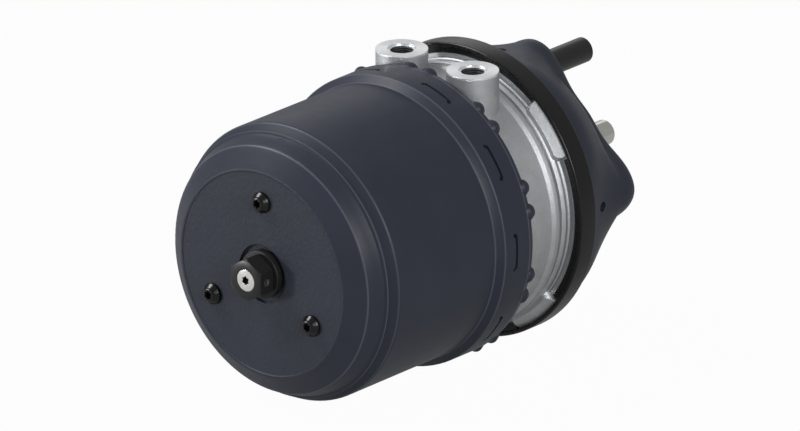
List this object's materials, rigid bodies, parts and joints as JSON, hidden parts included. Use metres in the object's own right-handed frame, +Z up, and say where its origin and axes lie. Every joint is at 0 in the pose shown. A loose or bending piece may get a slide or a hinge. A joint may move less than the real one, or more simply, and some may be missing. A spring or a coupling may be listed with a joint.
{
  "type": "air brake chamber",
  "caption": "Double air brake actuator: a closed spring drum and a lobed service chamber clamped to a cast body with two air ports, a push rod, studs and a release bolt.",
  "frame": {"origin": "centre of the mounting face, midway between the two studs, on the push rod's axis", "axes": "+Y along the axis towards the caliper, the way the push rod moves out; +Z up, the way both air ports point; +X to the right seen from the closed end"},
  "size_m": [0.1872, 0.3337, 0.1872],
  "materials": {
    "drum_paint": "matt dark blue-grey paint",
    "black_screws": "black coating",
    "turned_steel": "bare turned steel",
    "black_steel": "black phosphate",
    "spring_wire": "dark coated spring steel",
    "bolt_steel": "bright zinc plate",
    "hex_black": "black coating",
    "pin_grey": "grey spring steel",
    "piston_alloy": "cast and turned",
    "seal_rubber": "black rubber",
    "guide_plastic": "bearing plastic",
    "tube_steel": "ground and plated",
    "valve_plastic": "black plastic",
    "cast_alloy": "fine grained casting",
    "ring_black": "smooth black coating",
    "stud_black": "smooth black coating",
    "diaphragm_rubber": "fabric-backed black rubber",
    "zinc_plate": "zinc plate",
    "zinc_rod": "bright zinc plate"
  },
  "bodies": {
    "housing": {"spring_housing": "drum_paint", "end_screws": "black_screws", "end_plate": "drum_paint", "threaded_bush": "turned_steel", "bolt_collar": "black_steel", "spring_seat": "turned_steel", "power_spring": "spring_wire", "centre_body": "cast_alloy", "tube_seals": "seal_rubber", "tube_guide_bush": "guide_plastic", "housing_seal": "seal_rubber", "lock_ring": "black_steel", "clamp_ring": "ring_black", "service_housing": "drum_paint", "mounting_studs": "stud_black", "diaphragm": "diaphragm_rubber", "return_spring": "spring_wire", "rod_boot": "seal_rubber", "boot_retainer": "turned_steel"},
    "bolt_carrier": {"bolt_washer": "turned_steel"},
    "release_bolt": {"release_bolt": "bolt_steel", "release_hex": "hex_black", "release_hex_pin": "pin_grey"},
    "parking_piston": {"parking_piston": "piston_alloy", "piston_lip_seal": "seal_rubber", "piston_guide_ring": "guide_plastic", "piston_tube": "tube_steel", "tube_cap": "turned_steel", "breather_valve": "valve_plastic"},
    "push_rod": {"push_plate": "zinc_plate", "push_rod": "zinc_rod"}
  },
  "joints": [
    {"name": "release_bolt_travel", "type": "slide", "parent": "housing", "child": "bolt_carrier", "axis": [0, -1, 0], "range_m": [0, 0.045]},
    {"name": "release_bolt_spin", "type": "hinge", "parent": "bolt_carrier", "child": "release_bolt", "pos_m": [0, 0, 0], "axis": [0, -1, 0], "range_deg": [0, 5400]},
    {"name": "parking_piston_slide", "type": "slide", "parent": "housing", "child": "parking_piston", "axis": [0, -1, 0], "range_m": [0, 0.045], "deforming": ["power_spring"]},
    {"name": "push_rod_slide", "type": "slide", "parent": "parking_piston", "child": "push_rod", "axis": [0, 1, 0], "range_m": [0, 0.012], "stiffness_N_per_m": 2000, "springref_m": -0.03, "deforming": ["return_spring", "diaphragm", "rod_boot"]}
  ],
  "couplings": [
    {"joint": "release_bolt_travel", "follows": "parking_piston_slide", "ratio": 1},
    {"joint": "release_bolt_spin", "follows": "parking_piston_slide", "rad_per_m": 2094.4}
  ]
}
